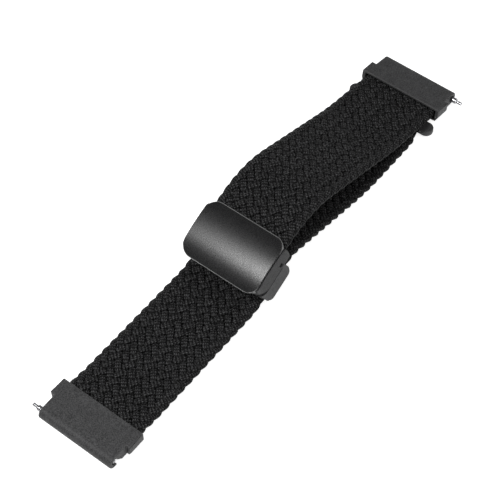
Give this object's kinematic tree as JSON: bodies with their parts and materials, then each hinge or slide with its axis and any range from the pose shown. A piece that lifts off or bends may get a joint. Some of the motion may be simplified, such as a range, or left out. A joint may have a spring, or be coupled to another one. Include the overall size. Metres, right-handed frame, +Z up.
{
  "type": "watch strap",
  "caption": "Braided fabric watch strap with a hinged magnetic hook clasp, a clipped sliding tail and end links on quick-release spring bars.",
  "frame": {"origin": "on the table under the strap, midway between the fronts of the two end links", "axes": "+X from end link A, which carries the long strap, to end link B; +Z up from the table; +Y across the strap"},
  "size_m": [0.1376, 0.0276, 0.0178],
  "materials": {
    "braid": "black nylon braid, matt",
    "clip_metal": "satin dark grey coating",
    "link_metal": "fine matt dark grey coating",
    "dark_plate": "matt dark grey",
    "steel": "polished stainless steel",
    "nickel": "nickel plating",
    "clasp_metal": "matt dark grey coating",
    "cover_metal": "satin black coating"
  },
  "bodies": {
    "root": {"strap_long": "braid", "tail_clip": "clip_metal", "end_link_a": "link_metal", "link_plate_a": "dark_plate", "link_pin_a": "steel", "base_frame": "clasp_metal", "base_magnet_left": "nickel", "base_magnet_right": "nickel", "magnet_plate": "dark_plate", "hook_bar": "steel", "lock_pin": "steel"},
    "clasp_top": {"top_frame": "clasp_metal", "top_magnet_left": "nickel", "top_magnet_right": "nickel", "magnet_shield": "nickel", "strap_bar": "steel", "cover_plate": "cover_metal", "strap_short": "braid", "end_link_b": "link_metal", "link_plate_b": "dark_plate", "link_pin_b": "steel"},
    "lock": {"locking_plate": "dark_plate"},
    "bar_a": {"bar_barrel_a": "steel", "bar_fixed_tip_a": "steel", "bar_spring_a": "steel"},
    "tip_a": {"bar_release_tip_a": "steel", "bar_knob_a": "steel"},
    "bar_b": {"bar_barrel_b": "steel", "bar_fixed_tip_b": "steel", "bar_spring_b": "steel"},
    "tip_b": {"bar_release_tip_b": "steel", "bar_knob_b": "steel"}
  },
  "joints": [
    {"name": "clasp_hook", "type": "hinge", "parent": "root", "child": "clasp_top", "pos_m": [-0.01344, 0, 0.00611], "axis": [0, -1, 0], "range_deg": [0, 60]},
    {"name": "locking_plate_hinge", "type": "hinge", "parent": "root", "child": "lock", "pos_m": [-0.01166, 0, 0.00152], "axis": [0, 1, 0], "range_deg": [0, 25]},
    {"name": "bar_a_slide", "type": "slide", "parent": "root", "child": "bar_a", "axis": [0, -1, 0], "range_m": [0, 0.0032]},
    {"name": "release_a", "type": "slide", "parent": "bar_a", "child": "tip_a", "axis": [0, 1, 0], "range_m": [0, 0.0014], "stiffness_N_per_m": 400, "springref_m": -0.001, "deforming": ["bar_spring_a"]},
    {"name": "bar_b_slide", "type": "slide", "parent": "clasp_top", "child": "bar_b", "axis": [0, 1, 0], "range_m": [0, 0.0032]},
    {"name": "release_b", "type": "slide", "parent": "bar_b", "child": "tip_b", "axis": [0, -1, 0], "range_m": [0, 0.0014], "stiffness_N_per_m": 400, "springref_m": -0.001, "deforming": ["bar_spring_b"]}
  ]
}
